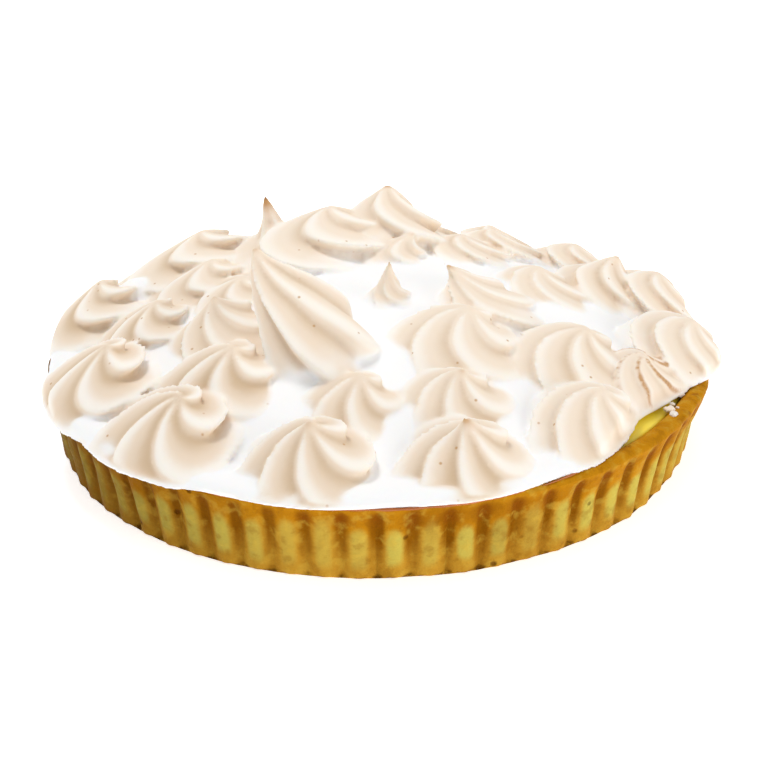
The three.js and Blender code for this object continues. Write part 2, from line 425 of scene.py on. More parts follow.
# %% Flute tree, the groove across each flute
UNEVENNESS = 0.0009
flutes, start, end = new_tree("press_flutes", [
    ("Flutes", "Float", FLUTE_COUNT),
    ("Depth", "Float", FLUTE_DEPTH * MM),
    ("Shoulder", "Float", SHOULDER * MM),
    ("Unevenness", "Float", UNEVENNESS),
    ("Material", "Material", None)])
count, depth, shoulder, uneven = [Field(flutes, start.outputs[i]) for i in range(1, 5)]
x, y, z = position(flutes)
radius = (x * x + y * y) ** 0.5
angle = y.math("ARCTAN2", x)
turn = (angle + math.pi / 2) / (2 * math.pi) * count
nearness = ((turn - turn.math("ROUND")).abs()) * 2.0
groove = (1.0 - nearness) ** 1.7
luck_draw = flutes.nodes.new("ShaderNodeTexWhiteNoise")
luck_draw.noise_dimensions = "1D"
flutes.links.new(turn.math("FLOOR").socket, luck_draw.inputs["W"])
luck = Field(flutes, luck_draw.outputs["Value"])

# %% Flute tree, how deep it is pressed
OUTER_WALL = 0.1085
OUTSIDE = 0.1
RIM_WAVE_FROM, RIM_WAVE_TO = 0.018, 0.026
outside = (radius - OUTER_WALL).math("GREATER_THAN", 0.0)
height = z / shoulder
fade = 1.0 - (height.at_least(0.0).at_most(1.0) ** 6.0) * 0.55
gone = z.ramp(SHOULDER * MM, (RIM_TOP - 1.0) * MM, 1.0, 0.0)
strength = fade * gone * outside
lumps = (noise(flutes, 45.0, 3.0) - 0.5) * uneven * 2.4
press = depth * strength * groove * (luck * 0.4 + 0.8) - lumps
moved = 1.0 - press / radius.at_least(0.01)
scale_by = 1.0 + (moved - 1.0) * radius.math("GREATER_THAN", OUTSIDE)
wave = (noise(flutes, 26.0, 2.0) - 0.5) * uneven * 3.0
lift = wave * z.ramp(RIM_WAVE_FROM, RIM_WAVE_TO)
shift = flutes.nodes.new("GeometryNodeSetPosition")
flutes.links.new(vector(flutes, x * scale_by, y * scale_by, z + lift), shift.inputs["Position"])
realize = flutes.nodes.new("GeometryNodeRealizeInstances")
paint = flutes.nodes.new("GeometryNodeSetMaterial")
flutes.links.new(start.outputs["Material"], paint.inputs["Material"])
chain(flutes, start, store(flutes, "groove", groove), store(flutes, "luck", luck),
      shift, realize, paint, end)
print("flute tree:", len(flutes.nodes), "nodes")

# %% Press the flutes
pastry = bpy.data.materials.new("baked_pastry")
case = place("pastry_case", run_tree(blank, flutes, {"Material": pastry}))
bpy.data.objects.remove(blank)
print("pastry case:", len(case.data.polygons), "faces")

# %% [markdown]
# ## The lemon filling
#
# The filling is poured in while it is loose and sets level, with a small rounded edge where it
# met the pastry. Only a crescent of it shows at the right, but it runs through the whole case
# as the real one does. It is turned round the middle from a profile, like the case.

# %% Filling
FILL_COLUMNS = 180
FILL_RINGS = 8
FILL_RING_STEP = 4
FILL_BULGE = 0.6
FILL_BULGE_FROM = 20

lemon_material = bpy.data.materials.new("lemon_filling")
fill_profile = [(0, FLOOR_THICK + GAP), (INNER_FLOOR - GAP - 0.1, FLOOR_THICK + GAP),
                (INNER_FLOOR + 0.8, 14), (INNER_RIM - 0.65, FILL_TOP - 0.9),
                (INNER_RIM - 0.9, FILL_TOP - 0.4), (INNER_RIM - 1.5, FILL_TOP - 0.1)]
for i in range(1, FILL_RINGS + 1):
    fill_profile.append((INNER_RIM - 1.5 - i * FILL_RING_STEP, FILL_TOP))
fill_profile.append((0, FILL_TOP))


def fill_radius(r, z, angle):
    """The top of the filling follows the case where it leans out."""
    return r + bulge(z, angle) * FILL_BULGE * (z > FILL_BULGE_FROM)


filling = turned("lemon_curd", fill_profile, FILL_COLUMNS, fill_radius)
filling.data.materials.append(lemon_material)
print("filling:", len(filling.data.polygons), "faces")

# %% [markdown]
# ## One piped swirl
#
# A star nozzle held still and drawn up leaves a dome with sharp valleys and soft ribs. Turning
# the wrist as it is drawn up twists the ribs, and pulling away leaves a tip that leans and
# sometimes hooks over. A grid of points becomes that shape with one formula: across the grid
# is the way round the swirl and up the grid is the way from its foot to its tip. Geometry
# Nodes suit this well, because every swirl is the same tree with other inputs.

# %% Swirl tree, its inputs
RIDGES = 5
TURN_START = -0.55
VALLEY_AT = 0.61
SWIRL_INPUTS = {
    "Ridges": RIDGES, "Base Radius": 19.0, "Height": 15.0, "Lean X": 0.0, "Lean Y": 0.0,
    "Peak": 0.12, "Sharpness": 10.0, "Hook X": 0.0, "Hook Y": 0.0, "Twist": 2.9,
    "Depth": 0.18, "Wobble": 1.0, "Seed": 0.0, "Scorch": 0.1, "Ridge Scorch": 0.0}
swirl_tree, start, end = new_tree(
    "piped_swirl", [(label, "Float", value) for label, value in SWIRL_INPUTS.items()])
(ridges, base, tall, lean_x, lean_y, peak, sharp, hook_x, hook_y, twist, deep, wobble, seed,
 scorch, ridge_scorch) = [Field(swirl_tree, start.outputs[label]) for label in SWIRL_INPUTS]

# %% Swirl tree, the shape
across, up_grid, _ = position(swirl_tree)
around = (across + 0.5) * (2 * math.pi)
psi = ((up_grid + 0.5) ** 0.75) * math.pi - math.pi / 2
sine = psi.sin()
up = sine.at_least(0.0)
tip = up ** sharp
share = (psi - TURN_START) / (math.pi / 2 - TURN_START)
ridge_place = (around * ridges / (2 * math.pi)).fract()
falling = 1.0 - ridge_place / VALLEY_AT
rising = (ridge_place - VALLEY_AT) / (1.0 - VALLEY_AT)
slant = falling.at_least(rising)
crest = slant * 0.7 + (slant * (math.pi / 2)).sin() * 0.3
turned_by = around + ((1.0 - share).at_least(0.0) ** 1.5) * twist
spread = psi.cos().at_least(0.0) ** 1.1
ring = base * spread * (1.0 - tip * 0.4) * (1.0 + deep * (up * 0.4 + 0.6) * (crest * 2.0 - 1.0))
foot_drop = sine.at_most(0.0) * 7.0
raised = tall * (up + peak * tip) + foot_drop
out_x = ring * turned_by.cos() + lean_x * up ** 3.0 + hook_x * tip
out_y = ring * turned_by.sin() + lean_y * up ** 3.0 + hook_y * tip

# %% Swirl tree, unevenness and output
ROAM_SCALE = 0.045
ROAM_REACH = 4.0
SEED_STEP = 37.0
AXIS_STEP = 90.0
WELD_DISTANCE = 0.00001


def roam(axis):
    """How far the foam strays along one axis, in mm; each seed and axis has its own noise."""
    from_x = out_x + seed * SEED_STEP + axis * AXIS_STEP
    stray = noise(swirl_tree, ROAM_SCALE, 2.0, vector(swirl_tree, from_x, out_y, raised))
    return (stray - 0.5) * wobble * ROAM_REACH


settled = spread.at_least(up)
final = vector(swirl_tree, (out_x + roam(0) * settled) * MM, (out_y + roam(1) * settled) * MM,
               (raised + roam(2) * 0.6 * spread) * MM)
tip_scorch = (up ** 120.0) * scorch
crest_scorch = (crest ** 12.0) * (up ** 2.0) * ridge_scorch
bend = swirl_tree.nodes.new("GeometryNodeSetPosition")
swirl_tree.links.new(final, bend.inputs["Position"])
weld = swirl_tree.nodes.new("GeometryNodeMergeByDistance")
weld.inputs["Distance"].default_value = WELD_DISTANCE
realize = swirl_tree.nodes.new("GeometryNodeRealizeInstances")
chain(swirl_tree, start, store(swirl_tree, "crown", sine), store(swirl_tree, "ridge", crest),
      store(swirl_tree, "scorch", tip_scorch + crest_scorch), bend, weld, realize, end)
print("swirl tree:", len(swirl_tree.nodes), "nodes")


# %% Grid that a swirl is bent from
COLUMNS_PER_RIDGE = 14
SWIRL_ROWS = 36


def grid_blank(columns, rows):
    """A flat unit grid whose points run round the swirl in x and from foot to tip in y."""
    mesh = bmesh.new()
    bmesh.ops.create_grid(mesh, x_segments=columns, y_segments=rows, size=0.5)
    return shape("swirl_blank", mesh)


blank = grid_blank(RIDGES * COLUMNS_PER_RIDGE, SWIRL_ROWS)
print("swirl blank:", len(blank.data.vertices), "points")

# %% [markdown]
# ## The swirls in their rings
#
# The baker worked round the tart: one ring of swirls along the rim, a second on the slope, a
# third near the top and two to finish. Each entry below says how far out a swirl stands (r), at
# which compass angle (a), and what sets it apart: its width, height, lean, tip and hook. A
# swirl leans to the middle, or to the angle that "to" gives.

# %% Swirl list
PLAIN = dict(base=19, height=13, lean=13, to=None, peak=0.12, sharp=10, hook=0, hook_to=180,
             twist=290, depth=0.24, sink=6.3, wobble=1.0, scorch=0.12, ridge_scorch=0.0)
SWIRLS = [
    # outer ring
    dict(r=102, a=172, base=22, height=16, to=15),
    dict(r=103, a=204, base=25, height=14, lean=16, to=30),
    dict(r=103, a=230, base=25, lean=16, to=45),
    dict(r=101, a=259, base=22, lean=14, to=75, peak=0.3, sharp=24, hook=3, hook_to=180,
         scorch=0.25),
    dict(r=101, a=285, base=21.5, height=11.5, lean=13, to=70, peak=0.45, sharp=20, hook=7,
         hook_to=160, scorch=0.5),
    dict(r=101, a=312, base=22, lean=14, to=95),
    dict(r=98, a=334, base=18, lean=10, to=130, ridge_scorch=1.3),
    dict(r=105, a=352, base=21.5, height=15, lean=6, to=120),
    dict(r=104, a=15, base=21, height=16, lean=6),
    dict(r=97, a=37, base=21, height=14.5, lean=9),
    dict(r=97, a=61, base=20, lean=9),
    dict(r=97, a=86, base=20, lean=9),
    dict(r=96, a=113, base=22, lean=9),
    dict(r=84, a=146, base=30, height=18, lean=14, to=-20),
    # second ring
    dict(r=79, a=188, base=19, lean=10, to=20),
    dict(r=76, a=229, base=23, height=11.5, lean=14, to=55),
    dict(r=75, a=264, base=18, height=10, lean=12, to=70),
    dict(r=77, a=289, base=19.5, height=9.5, peak=0.4, sharp=16, lean=12, to=90, scorch=0.35),
    dict(r=77, a=326, base=23, height=11.5, lean=15, to=80),
    dict(r=83, a=17, base=18, height=15.5, lean=3, to=60, peak=0.35, sharp=14, scorch=0.4),
    dict(r=73, a=50, base=20, lean=9),
    dict(r=73, a=77, base=20, lean=9),
    dict(r=74, a=104, base=20, lean=9),
    dict(r=66, a=165, base=20, lean=11, to=0),
    dict(r=58, a=136, height=13.5, lean=11, to=-10, peak=1.15, sharp=30, hook=3, hook_to=190,
         scorch=1.0),
    # third ring
    dict(r=57, a=215, base=20, height=11.5, lean=15, to=100, peak=0.35, sharp=20, scorch=0.3),
    dict(r=49, a=251, base=17, height=28, lean=33, to=129, sharp=14, twist=140, scorch=0.45),
    dict(r=50, a=300, base=22, height=11, lean=15, to=70),
    dict(r=42, a=340, base=17, height=13, lean=13, to=155, peak=0.25, sharp=20, hook=8,
         hook_to=180, scorch=0.85),
    dict(r=60, a=8, base=19, height=10.5, lean=8, to=120),
    dict(r=50, a=48, base=19, height=12, lean=4),
    dict(r=44, a=84, base=23, height=22, lean=0, peak=0.28, scorch=0.6),
    dict(r=42, a=121, base=29, height=20, lean=8, to=0),
    dict(r=48, a=178, base=19, height=10, lean=5, to=0),
    # middle
    dict(r=17, a=287, base=8, height=9, lean=0, peak=1.0, sharp=14, sink=4, scorch=0.7),
    dict(r=25, a=80, base=15, height=11.5, lean=6, to=0, peak=0.25, hook=4, hook_to=0, scorch=0.4),
]
print("swirls:", len(SWIRLS))


# %% Stay on the bed
OVERHANG = 1.0
LEFT_OVERHANG = 2.0
LEFT_DROOP = 1.5
DROOP_ANGLE, DROOP_SPREAD = math.radians(212), math.radians(34)
RIGHT_OVERHANG = 8.0
RIGHT_ANGLE, RIGHT_SPREAD = math.radians(-5), math.radians(15)
FOOT_ABOVE = 1.1
FOOT_THIN = 0.13
REACH_THIN = 0.15


def keep_on_bed(point):
    """Draws a point in where a swirl would hang over the edge; at the sides it may, a little."""
    angle = math.atan2(point.y, point.x)
    left = bell(angle, DROOP_ANGLE, DROOP_SPREAD)
    right = bell(angle, RIGHT_ANGLE, RIGHT_SPREAD)
    gap = bell(angle, LEMON_GAP_ANGLE, LEMON_GAP_SPREAD)
    overhang = OVERHANG * (1 - gap) + LEFT_OVERHANG * left + RIGHT_OVERHANG * right
    reach = (bed_radius(angle) + overhang) * MM
    r = math.hypot(point.x, point.y)
    if r > reach:
        pull = (reach + (r - reach) * REACH_THIN) / r
        point.x *= pull
        point.y *= pull
    lowest = (BED_FOOT + FOOT_ABOVE - LEFT_DROOP * left) * MM
    if point.z < lowest:
        point.z = lowest - (lowest - point.z) * FOOT_THIN


# %% Pipe the swirls
def pipe(number, entry):
    """One swirl as an object standing on the bed, tilted with its slope."""
    s = {**PLAIN, **entry}
    lean_to = math.radians(s["a"] + 180 if s["to"] is None else s["to"])
    hook_to = math.radians(s["hook_to"])
    values = {
        "Base Radius": s["base"], "Height": s["height"],
        "Lean X": s["lean"] * math.cos(lean_to), "Lean Y": s["lean"] * math.sin(lean_to),
        "Peak": s["peak"], "Sharpness": s["sharp"],
        "Hook X": s["hook"] * math.cos(hook_to), "Hook Y": s["hook"] * math.sin(hook_to),
        "Twist": math.radians(s["twist"]), "Depth": s["depth"], "Wobble": s["wobble"],
        "Seed": number, "Scorch": s["scorch"], "Ridge Scorch": s["ridge_scorch"]}
    mesh = run_tree(blank, swirl_tree, {label: float(value) for label, value in values.items()})
    upright = Matrix.Rotation(-math.radians(s["a"]), 4, "Z")
    tilt = Matrix.Rotation(bed_slope(s["r"]), 4, "Y")
    lift = Matrix.Translation((s["r"] * MM, 0, (bed_height(s["r"]) - s["sink"]) * MM))
    about = Matrix.Rotation(math.radians(s["a"]), 4, "Z")
    mesh.transform(about @ lift @ tilt @ upright)
    for vertex in mesh.vertices:
        keep_on_bed(vertex.co)
    return place("swirl", mesh)


swirls = [pipe(number, entry) for number, entry in enumerate(SWIRLS)]
bpy.data.objects.remove(blank)
top = max(vertex.co.z for swirl in swirls for vertex in swirl.data.vertices)
print("highest swirl point in mm:", round(top / MM, 1))

# %% [markdown]
# ## The bed under the swirls
#
# Before piping, the baker spreads a smooth dome of meringue right out onto the pastry, which
# seals the filling in. Its low bank shows under the front swirls. It is turned like the case,
# with a radius that changes with the angle.

# %% Meringue bed
BED_COLUMNS = 240
BED_RINGS = 24
bed_profile = [(0, FILL_TOP + 0.3), (0.97, FILL_TOP + 0.3), (0.99, BED_FOOT - 1.6),
               (1.0, BED_FOOT - 1.6), (1.007, BED_FOOT - 0.6), (1.007, 28.0), (0.998, 29.2),
               (0.978, 30.0), (0.95, 30.4)]
for i in range(1, BED_RINGS + 1):
    share = 0.93 * (1 - i / BED_RINGS)
    bed_profile.append((share, bed_height(share * BED_RADIUS)))
bed = turned("meringue_bed", bed_profile, BED_COLUMNS, lambda r, z, a: r * bed_radius(a))
print("bed:", len(bed.data.polygons), "faces")


# %% Slumped meringue
def slump(x, y, z, radius):
    """A soft lump under two leaning swirls, where the foam has sunk into the gap between them."""
    mesh = bmesh.new()
    bmesh.ops.create_icosphere(mesh, subdivisions=4, radius=radius * MM)
    bmesh.ops.translate(mesh, verts=mesh.verts, vec=Vector((x, y, z)) * MM)
    return shape("slump", mesh)


BED_LEVELS = {"crown": -0.35, "ridge": 0.5, "scorch": 0.0}
lump = slump(-85.0, 26.0, 34.0, 9.0)
for piece in (bed, lump):
    for name, level in BED_LEVELS.items():
        layer = piece.data.attributes.new(name, "FLOAT", "POINT")
        layer.data.foreach_set("value", [level] * len(piece.data.vertices))
print("slump:", len(lump.data.polygons), "faces")

# %% [markdown]
# ## Fusing the meringue
#
# Freshly piped meringue runs together where it touches, so the swirls must not look like
# stones set on a hill. Joining them and remeshing the lot through a fine grid of cells makes
# one closed skin, and a little smoothing rounds every join the way the soft foam would. Three
# values travel along for the browning: how near the tip a point was, whether it lay on a rib
# or in a valley, and how much it was scorched. At the end the skin is thinned, because most
# of its small faces lie on smooth ground.

# %% Join and remesh
VOXEL = 0.00085
with bpy.context.temp_override(active_object=bed, selected_editable_objects=[bed, lump] + swirls):
    bpy.ops.object.join()
source = bed
source.name = "piped_parts"
fused = place("meringue_swirls", source.data.copy())
remesh = fused.modifiers.new("fuse", "REMESH")
remesh.mode = "VOXEL"
remesh.voxel_size = VOXEL
remesh.use_smooth_shade = True
soften = fused.modifiers.new("soften", "SMOOTH")
soften.factor = 0.5
soften.iterations = 3
skin = evaluated_mesh(fused)
fused.modifiers.clear()
fused.data = skin
print("fused:", len(skin.polygons), "faces")


# %% Settle on the rim
SETTLE_BULGE = 0.75
SETTLE_GAP = 0.2


def rim_surface(r):
    """Height of the top of the case at a distance from the middle, with the rim's round edge."""
    across = (r - RIM_MIDDLE) / RIM_HALF
    if r < INNER_RIM:
        return FILL_TOP
    if across > 1:
        return 0.0
    return RIM_TOP - RIM_ROUND + RIM_ROUND * math.sqrt(max(0.0, 1 - across * across))


for vertex in skin.vertices:
    r = math.hypot(vertex.co.x, vertex.co.y) / MM
    angle = math.atan2(vertex.co.y, vertex.co.x)
    rest = rim_surface(r - SETTLE_BULGE * bulge(RIM_TOP, angle)) + SETTLE_GAP
    vertex.co.z = max(vertex.co.z, rest * MM)

# %% Carry the three values over
VALUE_BLURS = {"crown": 20, "ridge": 2, "scorch": 1}
carry, start, end = new_tree("carry_values", [
    ("Parts", "Object", None), ("Material", "Material", None)])
parts = carry.nodes.new("GeometryNodeObjectInfo")
carry.links.new(start.outputs["Parts"], parts.inputs["Object"])
steps = [start]
for name, blurs in VALUE_BLURS.items():
    nearest = carry.nodes.new("GeometryNodeSampleNearestSurface")
    carry.links.new(parts.outputs["Geometry"], nearest.inputs["Mesh"])
    carry.links.new(stored(carry, name), nearest.inputs["Value"])
    steps.append(store(carry, name, Field(carry, nearest.outputs["Value"])))
    blur = carry.nodes.new("GeometryNodeBlurAttribute")
    blur.inputs["Iterations"].default_value = blurs
    carry.links.new(stored(carry, name), blur.inputs["Value"])
    steps.append(store(carry, name, Field(carry, blur.outputs["Value"])))
realize = carry.nodes.new("GeometryNodeRealizeInstances")
paint = carry.nodes.new("GeometryNodeSetMaterial")
carry.links.new(start.outputs["Material"], paint.inputs["Material"])
chain(carry, *steps, realize, paint, end)
print("carry tree:", len(carry.nodes), "nodes")

# %% Thin the skin
MOST_TRIANGLES = 185000
meringue_material = bpy.data.materials.new("toasted_meringue")
fused.data = run_tree(fused, carry, {"Parts": source, "Material": meringue_material})
thin = fused.modifiers.new("thin", "DECIMATE")
thin.ratio = min(1.0, MOST_TRIANGLES / (2 * len(fused.data.polygons)))
light_mesh = evaluated_mesh(fused)
fused.modifiers.clear()
fused.data = light_mesh
bpy.data.objects.remove(source)
smooth_faces(light_mesh)
light_mesh.calc_loop_triangles()
print("meringue:", len(light_mesh.loop_triangles), "triangles")

# %% [markdown]
# ## Syrup and crumbs
#
# Baked meringue weeps a little sugar syrup, which browns into a thin line where the meringue
# meets the rim at the front. A few crumbs of dry meringue lie where the filling shows.

# %% Syrup line
SYRUP_SIDES = 6
SYRUP_STRETCHES = ((234, 293, 0.65), (296, 319, 0.5))
STEPS_PER_DEGREE = 3


def add_syrup(mesh, first, last, thick):
    """A thin uneven bead along the foot of the meringue between two angles in degrees."""
    steps = int((last - first) * STEPS_PER_DEGREE)
    rings = []
    for i in range(steps + 1):
        angle = math.radians(first + (last - first) * i / steps)
        swell = 0.7 + 0.3 * math.sin(angle * 23) * math.sin(angle * 61 + 1)
        size = thick * swell * math.sin(math.pi * (i + 0.5) / (steps + 1)) ** 0.4
        r = min(bed_radius(angle) * 1.007 + 0.3, WALL_RADIUS)
        z = max(rim_surface(r), RIM_TOP - 1.2) + 0.3
        ring = []
        for j in range(SYRUP_SIDES):
            side = 2 * math.pi * j / SYRUP_SIDES
            point = round_point(r + size * math.cos(side), angle, z + size * math.sin(side))
            ring.append(mesh.verts.new(point))
        rings.append(ring)
    for low, high in zip(rings, rings[1:]):
        for j in range(SYRUP_SIDES):
            k = (j + 1) % SYRUP_SIDES
            mesh.faces.new((low[j], high[j], high[k], low[k]))
    mesh.faces.new(rings[0])
    mesh.faces.new(rings[-1][::-1])


syrup_mesh = bmesh.new()
for first, last, thick in SYRUP_STRETCHES:
    add_syrup(syrup_mesh, first, last, thick)
bmesh.ops.recalc_face_normals(syrup_mesh, faces=syrup_mesh.faces)
syrup = shape("syrup_line", syrup_mesh, smooth=True)
syrup_material = bpy.data.materials.new("browned_syrup")
syrup.data.materials.append(syrup_material)
print("syrup:", len(syrup.data.polygons), "faces")

# %% Crumbs
CRUMB_COUNT = 7
CRUMB_ANGLES = (329, 340)
CRUMB_RADII = (107.0, 111.0)
CRUMB_SIZES = (0.6, 1.8)
CRUMB_PUSH = (-0.4, 0.3)
CRUMB_FLAT = 0.7
CRUMB_LIFT = 0.45

dice = random.Random(4)
crumb_mesh = bmesh.new()
for number in range(CRUMB_COUNT):
    angle = math.radians(dice.uniform(*CRUMB_ANGLES))
    r = dice.uniform(*CRUMB_RADII)
    size = dice.uniform(*CRUMB_SIZES)
    spot = Vector(round_point(r, angle, rim_surface(r) + size * CRUMB_LIFT))
    made = bmesh.ops.create_icosphere(crumb_mesh, subdivisions=2, radius=size * MM)
    for vertex in made["verts"]:
        push = 1.0 + dice.uniform(*CRUMB_PUSH)
        vertex.co = vertex.co * push
        vertex.co.z *= CRUMB_FLAT
        vertex.co += spot
crumbs = shape("meringue_crumbs", crumb_mesh, smooth=True)
crumb_material = bpy.data.materials.new("dry_meringue")
crumbs.data.materials.append(crumb_material)
print("crumbs:", len(crumbs.data.polygons), "faces")

# %% [markdown]
# ## A shared shader group
#
# Pastry and meringue share one effect: the fine uneven surface that baked things have, with
# small open pores. It is a node group with named inputs, so that each finish sets its own
# sizes. It puts out a height for a Bump node and a mask of the pores for their colour.


# %% Shader helpers
MIX_FACTOR, MIX_FIRST, MIX_SECOND, MIX_RESULT = 0, 6, 7, 2


def shader_group(name, inputs, outputs):
    """An empty shader node group with named inputs and outputs."""
    tree = bpy.data.node_groups.new(name, "ShaderNodeTree")
    for entry in inputs:
        add_socket(tree, "INPUT", *entry)
    for entry in outputs:
        add_socket(tree, "OUTPUT", *entry)
    return tree, tree.nodes.new("NodeGroupInput"), tree.nodes.new("NodeGroupOutput")


def object_place(tree):
    """The place of a point on its object, so that a pattern stays on the piece."""
    return tree.nodes.new("ShaderNodeTexCoord").outputs["Object"]


def put(tree, value, slot):
    """Sets a socket from a field, another socket or a plain value."""
    if isinstance(value, Field):
        tree.links.new(value.socket, slot)
    elif isinstance(value, bpy.types.NodeSocket):
        tree.links.new(value, slot)
    else:
        slot.default_value = value


def mix(tree, factor, first, second, blend="MIX"):
    """A colour between two others; each may be a colour value or a socket."""
    node = tree.nodes.new("ShaderNodeMix")
    node.data_type = "RGBA"
    node.blend_type = blend
    put(tree, factor, node.inputs[MIX_FACTOR])
    put(tree, first, node.inputs[MIX_FIRST])
    put(tree, second, node.inputs[MIX_SECOND])
    return node.outputs[MIX_RESULT]


def layered(tree, colour, layers):
    """A colour with others laid over it in turn, each as strongly as its mask says."""
    for mask, tint in layers:
        colour = mix(tree, mask, colour, tint)
    return colour


def srgb(red, green, blue):
    """A display colour from 0 to 255 as the linear colour that a shader wants."""
    def linear(c):
        c = c / 255
        return c / 12.92 if c <= 0.04045 else ((c + 0.055) / 1.055) ** 2.4
    return (linear(red), linear(green), linear(blue), 1.0)


# %% Baked surface group
GRAIN_SHARE, LUMP_SHARE, PORE_SHARE = 0.35, 0.65, 0.6
PORE_EDGE, PORE_END = 0.08, 0.3
crumb, start, end = shader_group(
    "baked_surface",
    [("Grain Scale", "Float", 900.0), ("Lump Scale", "Float", 160.0),
     ("Pore Scale", "Float", 260.0), ("Pore Amount", "Float", 0.5)],
    [("Height", "Float"), ("Pores", "Float")])
where = object_place(crumb)
grain = noise(crumb, 900.0, 4.0, where, 0.6)
lump_noise = noise(crumb, 160.0, 3.0, where)
cells = crumb.nodes.new("ShaderNodeTexVoronoi")
crumb.links.new(where, cells.inputs["Vector"])
crumb.links.new(start.outputs["Grain Scale"], grain.socket.node.inputs["Scale"])
crumb.links.new(start.outputs["Lump Scale"], lump_noise.socket.node.inputs["Scale"])
crumb.links.new(start.outputs["Pore Scale"], cells.inputs["Scale"])
pick = crumb.nodes.new("ShaderNodeSeparateColor")
crumb.links.new(cells.outputs["Color"], pick.inputs[0])
pore_amount = Field(crumb, start.outputs["Pore Amount"])
chosen = (Field(crumb, pick.outputs[0]) - pore_amount).math("LESS_THAN", 0.0)
pores = Field(crumb, cells.outputs["Distance"]).ramp(PORE_EDGE, PORE_END, 1.0, 0.0) * chosen
height = grain * GRAIN_SHARE + lump_noise * LUMP_SHARE - pores * PORE_SHARE
crumb.links.new(height.socket, end.inputs["Height"])
crumb.links.new(pores.socket, end.inputs["Pores"])
print("baked surface group:", len(crumb.nodes), "nodes")


# %% Start of a material
def begin(material, roughness, specular):
    """Gives a material its nodes and a gloss; returns the tree and the Principled BSDF."""
    material.use_nodes = True
    tree = material.node_tree
    shader = tree.nodes["Principled BSDF"]
    shader.inputs["Roughness"].default_value = roughness
    shader.inputs["Specular IOR Level"].default_value = specular
    return tree, shader


def glow_through(shader, weight, radius, scale):
    """Lets light sink in under the surface; radius is for red, green and blue."""
    shader.inputs["Subsurface Weight"].default_value = weight
    shader.inputs["Subsurface Radius"].default_value = radius
    shader.inputs["Subsurface Scale"].default_value = scale


def attribute(tree, name):
    """A value kept on the points of the mesh, as a field."""
    node = tree.nodes.new("ShaderNodeAttribute")
    node.attribute_name = name
    return Field(tree, node.outputs["Fac"])


def bump(tree, shader, height, strength, distance):
    """Roughens the surface with a height; distance is in metres."""
    node = tree.nodes.new("ShaderNodeBump")
    node.inputs["Strength"].default_value = strength
    node.inputs["Distance"].default_value = distance
    put(tree, height, node.inputs["Height"])
    tree.links.new(node.outputs["Normal"], shader.inputs["Normal"])


def baked_surface(tree, grain_scale, lump_scale, pore_scale, pore_amount):
    """The height and the pores of the shared group, with this material's own sizes."""
    node = tree.nodes.new("ShaderNodeGroup")
    node.node_tree = crumb
    node.inputs["Grain Scale"].default_value = grain_scale
    node.inputs["Lump Scale"].default_value = lump_scale
    node.inputs["Pore Scale"].default_value = pore_scale
    node.inputs["Pore Amount"].default_value = pore_amount
    return node.outputs["Height"], Field(tree, node.outputs["Pores"])


# %% [markdown]
# ## Toasted meringue
#
# The oven browns what stands up into its heat. The swirls turn from white to the colour of light
# toast, while the low ground between the swirls stays snow white. The valleys between their ribs
# are painted a shade deeper as painted shade, and the crests are painted cream as a painted
# highlight. The browning is driven by the three values carried over from the swirls, broken up
# with noise so that no two swirls brown alike, and only the thin tips and a few thin ridges go a
# good deal darker. The toast colour is painted a little paler on the far side and darker at the
# front, as painted light and shade.

# %% Meringue colours
WHITE = srgb(253, 253, 253)
# Painted highlight on the crests of the ribs.
CREST_HIGHLIGHT = srgb(254, 248, 240)
# The two toast colours are one browning, painted paler at the far side and darker at the front as
# painted light and shade.
LIT_BACK_TOAST = srgb(243, 227, 208)
SHADED_FRONT_TOAST = srgb(236, 217, 195)
# Painted shade for the valleys between the ribs.
VALLEY_SHADE = srgb(211, 184, 151)
TIP = srgb(190, 136, 66)
BURNT = srgb(112, 66, 16)

# %% Meringue material
FRONT_FROM, FRONT_TO = -0.12, -0.01
tree, shader = begin(meringue_material, 0.62, 0.3)
where = object_place(tree)
crown = attribute(tree, "crown")
ridge = attribute(tree, "ridge")
patch = noise(tree, 26.0, 3.0, where)
fine = noise(tree, 120.0, 3.0, where)
browned = crown + (patch - 0.5) * 0.9 + (fine - 0.5) * 0.2 + (ridge - 0.5) * 0.1
cover = browned.ramp(0.02, 0.62)
x, y, _ = split_xyz(tree, where)
# How near the front a point lies; it paints the front darker as shade and weights the painted
# highlight and shade below.
front = (y * 0.8 + x * 0.6).ramp(FRONT_FROM, FRONT_TO, 1.0, 0.0)
toast_and_shade = mix(tree, front, LIT_BACK_TOAST, SHADED_FRONT_TOAST)
# Painted shade: darker in the valleys between ribs, a little stronger at the front.
furrow_shade = (1.0 - ridge) * crown.ramp(0.05, 0.45) * (patch * 0.9 + 0.45) * (front * 0.25 + 0.75)
heat = attribute(tree, "scorch") * (fine * 0.5 + 0.75)
height, pores = baked_surface(tree, 1100.0, 210.0, 420.0, 0.035)
colour = layered(tree, WHITE, [
    # Browning, painted darker at the front as shade.
    (cover, toast_and_shade),
    # Painted highlight: the crests of the ribs are mixed toward cream, a little more at the front.
    (ridge.ramp(0.58, 0.97) * (front * 0.15 + 0.75), CREST_HIGHLIGHT),
    # Painted shade in the valleys between the ribs.
    (furrow_shade.ramp(0.28, 0.9), VALLEY_SHADE),
    (heat.ramp(0.04, 0.5) * 0.85, TIP),
    (heat.ramp(0.5, 0.9), BURNT),
    (pores * cover * 0.7, TIP)])
tree.links.new(colour, shader.inputs["Base Color"])
glow_through(shader, 0.25, (1.0, 0.75, 0.5), 0.003)
bump(tree, shader, height, 0.22, 0.0005)
print("meringue material:", len(tree.nodes), "nodes")

